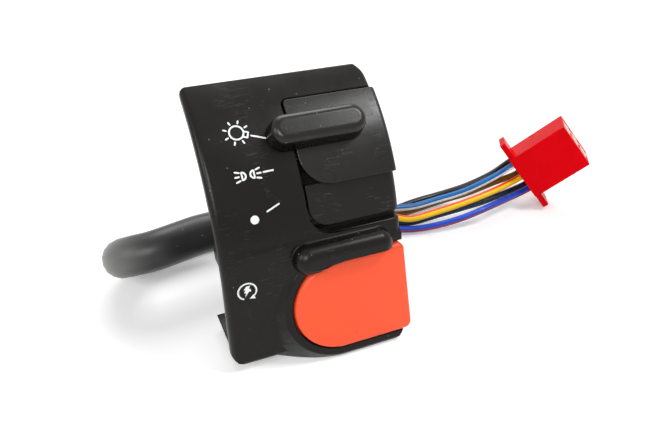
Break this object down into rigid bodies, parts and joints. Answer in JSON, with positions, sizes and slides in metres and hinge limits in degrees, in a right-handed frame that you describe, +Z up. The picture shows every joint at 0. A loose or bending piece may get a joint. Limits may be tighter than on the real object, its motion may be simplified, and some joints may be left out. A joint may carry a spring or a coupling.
{
  "type": "handlebar switch cluster",
  "caption": "Curved black half housing for a handlebar, with a sliding light switch, a sprung start button, a saddle for the bar, a loom sleeve and coloured wires to a red connector.",
  "frame": {"origin": "on the handlebar's axis, in the parting plane, midway between the two saddle ribs", "axes": "+X along the handlebar to the right as the rider sees it, +Y away from the rider into the rear half, +Z up"},
  "size_m": [0.151, 0.0634, 0.0609],
  "materials": {
    "black_plastic": "satin moulded, lightly scuffed",
    "brass": "stamped, slightly dull",
    "steel": "zinc plated",
    "dark_board": "dark laminated board",
    "white_plastic": "natural nylon",
    "orange_plastic": "moulded, worn to a sheen",
    "red_plastic": "moulded nylon",
    "black_sleeve": "soft vinyl tube",
    "black_rubber": "moulded",
    "lead_red": "vinyl insulation",
    "lead_yellow": "vinyl insulation",
    "wire_black": "vinyl insulation",
    "wire_blue": "vinyl insulation",
    "wire_brown": "vinyl insulation",
    "wire_yellow": "vinyl insulation",
    "wire_navy": "vinyl insulation"
  },
  "bodies": {
    "housing": {"front_shell": "black_plastic", "brass_inserts": "brass", "slide_bed": "black_plastic", "bed_screws": "steel", "contact_board": "dark_board", "board_screws": "steel", "fixed_contacts": "brass", "detent_spring": "steel", "detent_ball": "steel", "return_spring": "steel", "start_base": "black_plastic", "base_screws": "steel", "start_contacts": "brass", "light_leads": "lead_red", "lead_boot": "black_rubber", "light_bundle": "black_sleeve", "start_leads": "lead_yellow", "loom_clip": "black_plastic", "clip_screw": "steel", "loom_sleeve": "black_sleeve", "wire_black": "wire_black", "wire_blue_white": "wire_blue", "wire_brown": "wire_brown", "wire_yellow_red": "wire_yellow", "wire_navy": "wire_navy", "wire_blue_red": "wire_blue", "connector_housing": "red_plastic", "connector_terminals": "brass"},
    "slider": {"light_slider": "black_plastic", "contact_carrier": "white_plastic", "contact_bridge": "brass", "bridge_spring": "steel", "carrier_screw": "steel"},
    "button": {"start_button": "orange_plastic", "button_plunger": "white_plastic", "start_bridge": "brass"}
  },
  "joints": [
    {"name": "light_slide", "type": "hinge", "parent": "housing", "child": "slider", "pos_m": [0, 0.0195, -0.009], "axis": [1, 0, 0], "range_deg": [0, 12.4]},
    {"name": "start_press", "type": "slide", "parent": "housing", "child": "button", "axis": [0, 0.9863, -0.165], "range_m": [0, 0.0025], "stiffness_N_per_m": 800, "springref_m": -0.002, "deforming": ["return_spring"]}
  ]
}
